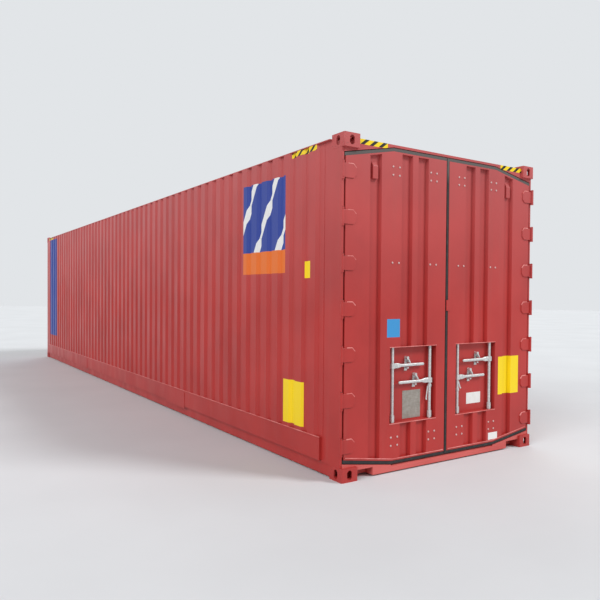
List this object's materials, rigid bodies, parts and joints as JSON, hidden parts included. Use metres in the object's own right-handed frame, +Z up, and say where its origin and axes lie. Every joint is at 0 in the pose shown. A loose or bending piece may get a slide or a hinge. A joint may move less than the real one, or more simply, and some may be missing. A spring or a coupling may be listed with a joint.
{
  "type": "high-cube pallet-wide shipping container",
  "caption": "Long steel cargo box with corrugated bulged sides, corner castings and a flush fluted double door with lock bars in sunk pockets.",
  "frame": {"origin": "on the ground, under the middle of the box", "axes": "+X along the box to the door end, +Y across it, +Z up"},
  "size_m": [12.192, 2.5, 2.896],
  "materials": {
    "red_paint": "satin",
    "corner_steel": "satin",
    "door_rubber": "matte",
    "galvanised_steel": "satin",
    "floor_plywood": "satin"
  },
  "bodies": {
    "box": {"front_post_left": "red_paint", "front_casting_bottom_left": "corner_steel", "front_casting_top_left": "corner_steel", "front_post_right": "red_paint", "front_casting_bottom_right": "corner_steel", "front_casting_top_right": "corner_steel", "door_post_left": "red_paint", "door_casting_bottom_left": "corner_steel", "door_casting_top_left": "corner_steel", "door_post_right": "red_paint", "door_casting_bottom_right": "corner_steel", "door_casting_top_right": "corner_steel", "bottom_rail_left": "red_paint", "lifting_pads_left": "red_paint", "top_rail_left": "red_paint", "side_wall_left": "red_paint", "hinge_lugs_left": "red_paint", "bottom_rail_right": "red_paint", "lifting_pads_right": "red_paint", "top_rail_right": "red_paint", "side_wall_right": "red_paint", "hinge_lugs_right": "red_paint", "roof": "red_paint", "front_wall": "red_paint", "front_sill": "red_paint", "front_sill_ends": "red_paint", "front_header": "red_paint", "gooseneck_roof": "red_paint", "gooseneck_sides": "red_paint", "cross_members": "red_paint", "floor": "floor_plywood", "door_header": "red_paint", "door_sill": "red_paint"},
    "door_left": {"door_frame_left": "red_paint", "door_skin_left": "red_paint", "lock_pocket_left": "red_paint", "bar_brackets_left": "red_paint", "door_seal_left": "door_rubber", "hinge_blades_left": "red_paint", "handle_catches_left": "galvanised_steel", "flute_hood_left": "red_paint"},
    "bar_left_inner": {"lock_bar_left_inner": "galvanised_steel", "lock_handle_left_inner": "galvanised_steel"},
    "bar_left_outer": {"lock_bar_left_outer": "galvanised_steel", "lock_handle_left_outer": "galvanised_steel"},
    "door_right": {"door_frame_right": "red_paint", "door_skin_right": "red_paint", "lock_pocket_right": "red_paint", "bar_brackets_right": "red_paint", "door_seal_right": "door_rubber", "hinge_blades_right": "red_paint", "handle_catches_right": "galvanised_steel", "flute_hood_right": "red_paint", "overlap_plate": "red_paint"},
    "bar_right_inner": {"lock_bar_right_inner": "galvanised_steel", "lock_handle_right_inner": "galvanised_steel"},
    "bar_right_outer": {"lock_bar_right_outer": "galvanised_steel", "lock_handle_right_outer": "galvanised_steel"}
  },
  "joints": [
    {"name": "door_left_swing", "type": "hinge", "parent": "box", "child": "door_left", "pos_m": [6.084, -1.222, 1.44], "axis": [0, 0, -1], "range_deg": [0, 265]},
    {"name": "bar_left_inner_turn", "type": "hinge", "parent": "door_left", "child": "bar_left_inner", "pos_m": [6.041, -0.183, 1.4], "axis": [0, 0, -1], "range_deg": [-100, 0]},
    {"name": "bar_left_outer_turn", "type": "hinge", "parent": "door_left", "child": "bar_left_outer", "pos_m": [6.041, -0.635, 1.4], "axis": [0, 0, 1], "range_deg": [-100, 0]},
    {"name": "door_right_swing", "type": "hinge", "parent": "box", "child": "door_right", "pos_m": [6.084, 1.222, 1.44], "axis": [0, 0, 1], "range_deg": [0, 265]},
    {"name": "bar_right_inner_turn", "type": "hinge", "parent": "door_right", "child": "bar_right_inner", "pos_m": [6.041, 0.183, 1.4], "axis": [0, 0, 1], "range_deg": [-100, 0]},
    {"name": "bar_right_outer_turn", "type": "hinge", "parent": "door_right", "child": "bar_right_outer", "pos_m": [6.041, 0.635, 1.4], "axis": [0, 0, -1], "range_deg": [-100, 0]}
  ]
}
